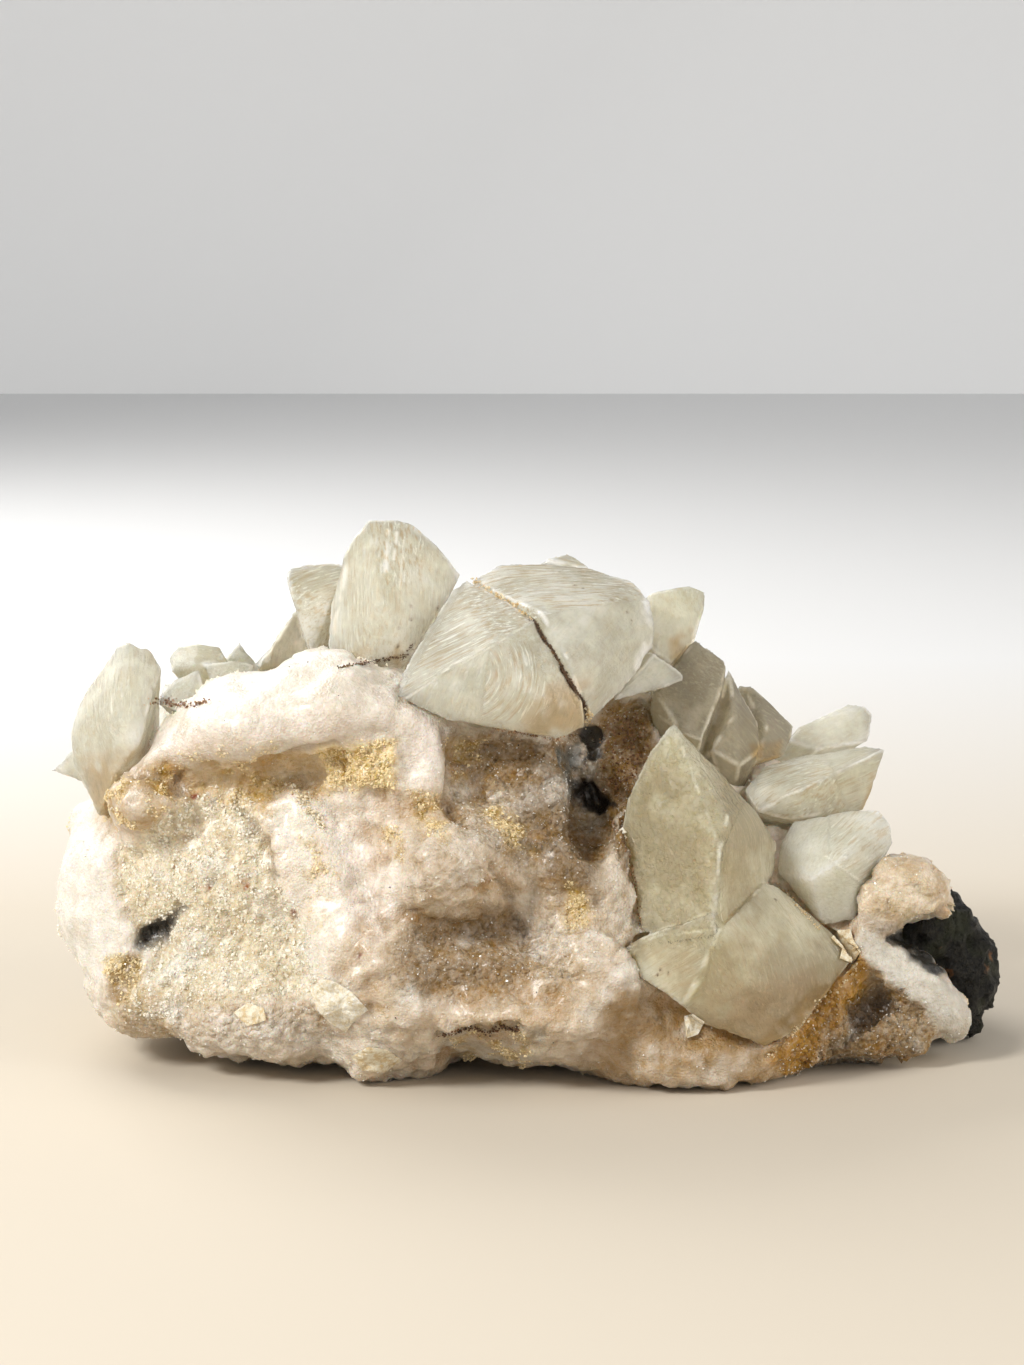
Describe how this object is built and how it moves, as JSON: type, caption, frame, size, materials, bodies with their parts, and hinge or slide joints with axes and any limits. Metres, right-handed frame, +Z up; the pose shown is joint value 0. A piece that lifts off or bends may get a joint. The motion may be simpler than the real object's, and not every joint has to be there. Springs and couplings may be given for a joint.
{
  "type": "dogtooth calcite specimen",
  "caption": "Natural mineral specimen: pale, frosted dogtooth calcite crystals grown on a lumpy chalcedony matrix, with a remnant of dark basalt at the right end.",
  "frame": {"origin": "on the resting plane, under the middle of the bounding box", "axes": "+X along the length, from the all-pale end to the basalt end; -Y towards the show face; +Z up"},
  "size_m": [0.1916, 0.115, 0.1056],
  "materials": {
    "chalcedony": "waxy to drusy chalcedony, creamy white to pinkish beige with golden brown crusts",
    "basalt": "rough, dull, nearly black basalt with green and rusty spots",
    "calcite": "frosted, translucent, pale greenish beige calcite with satin, striated faces",
    "grey_calcite": "frosted, translucent, greyer calcite with satin, striated faces"
  },
  "bodies": {
    "root": {"chalcedony_body": "chalcedony", "basalt_remnant": "basalt", "twin_crystal": "calcite", "tall_crystal": "calcite", "front_crystals": "calcite", "round_crystal": "calcite", "sloping_crystal": "calcite", "wedge_crystal": "calcite", "ridge_crystals": "grey_calcite", "crested_crystal": "calcite", "pillar_crystal": "grey_calcite", "grey_crystal": "grey_calcite", "left_end_crystal": "calcite", "spur_crystal": "calcite", "hollow_chip_crystal": "calcite", "hollow_crystals": "calcite", "twin_peak_crystal": "calcite", "far_right_crystal": "calcite", "back_crystal_1": "calcite", "back_crystal_2": "calcite", "back_crystal_3": "calcite", "back_crystal_4": "calcite", "back_crystal_5": "calcite", "back_crystal_6": "calcite", "back_crystal_7": "calcite", "back_crystal_8": "calcite", "back_crystal_9": "calcite", "plateau_crystal_1": "calcite", "plateau_crystal_2": "calcite", "plateau_crystal_3": "grey_calcite", "small_crystal_1": "calcite", "small_crystal_2": "calcite", "small_crystal_3": "calcite", "small_crystal_4": "calcite"}
  },
  "joints": []
}
